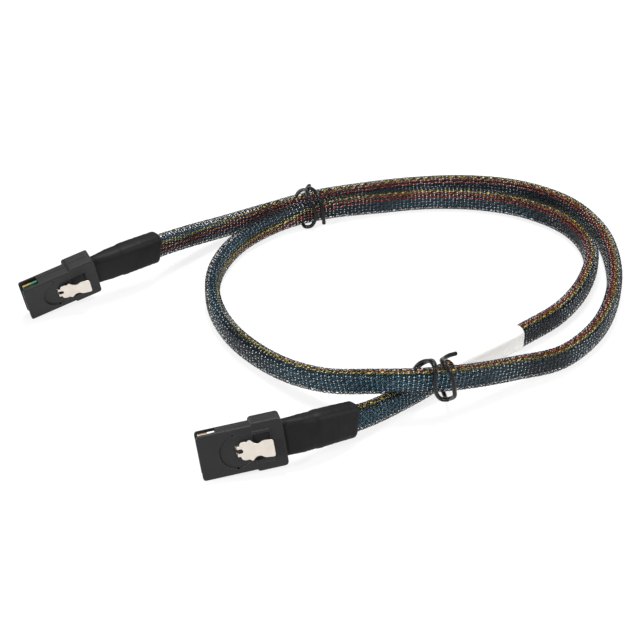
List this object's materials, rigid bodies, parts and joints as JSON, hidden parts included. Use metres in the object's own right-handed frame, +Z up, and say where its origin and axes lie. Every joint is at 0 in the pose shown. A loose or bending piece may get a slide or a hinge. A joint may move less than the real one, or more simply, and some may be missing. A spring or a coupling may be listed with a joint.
{
  "type": "internal mini sas cable",
  "caption": "Flat braided internal mini SAS data cable with a latching plug on each end, wound in an open loop and held by coated twist ties.",
  "frame": {"origin": "centre of the bottom face of the box round the two plugs with their shrink tubes, on the surface that the cable lies on", "axes": "+Z up from the surface, +X towards the far side of the loop, +Y away from the viewer of the latch faces"},
  "size_m": [0.295, 0.2441, 0.0302],
  "materials": {
    "plug_plastic": "moulded black thermoplastic, fine satin texture",
    "green_card": "green solder mask over glass laminate, gold contact pads",
    "white_card": "white solder mask over glass laminate, gold contact pads",
    "spring_steel": "pale satin stainless sheet",
    "inner_moulding": "matt hot-melt moulding",
    "shrink_tube": "satin heat-shrink tubing",
    "braid": "open braid of black polyester monofilament",
    "ribbon_jacket": "blue satin jacket",
    "yellow_wire": "satin insulation",
    "orange_wire": "satin insulation",
    "red_wire": "satin insulation",
    "label_paper": "white self-adhesive film, bare",
    "tie_coating": "glossy black coating on steel wire"
  },
  "bodies": {
    "root": {"cover_shell_a": "plug_plastic", "base_shell_a": "plug_plastic", "paddle_card_a": "green_card", "solder_block_a": "inner_moulding", "shrink_tube_a": "shrink_tube", "cover_shell_b": "plug_plastic", "base_shell_b": "plug_plastic", "paddle_card_b": "white_card", "solder_block_b": "inner_moulding", "shrink_tube_b": "shrink_tube", "braided_sleeve": "braid", "ribbon_cable_1": "ribbon_jacket", "ribbon_cable_2": "ribbon_jacket", "ribbon_cable_3": "ribbon_jacket", "ribbon_cable_4": "ribbon_jacket", "wire_yellow": "yellow_wire", "wire_orange": "orange_wire", "wire_red": "red_wire", "label_wrap": "label_paper", "twist_tie_a": "tie_coating", "twist_tie_b": "tie_coating"},
    "latch_a": {"latch_spring_a": "spring_steel"},
    "latch_b": {"latch_spring_b": "spring_steel"}
  },
  "joints": [
    {"name": "latch_a_press", "type": "hinge", "parent": "root", "child": "latch_a", "pos_m": [-0.06235, 0.0454, 0.01273], "axis": [-0.091, -0.249, 0.9642], "range_deg": [0, 11], "stiffness_Nm_per_rad": 0.2},
    {"name": "latch_b_press", "type": "hinge", "parent": "root", "child": "latch_b", "pos_m": [0.02914, -0.07404, 0.01298], "axis": [-0.1553, 0.2647, 0.9517], "range_deg": [0, 11], "stiffness_Nm_per_rad": 0.2}
  ]
}
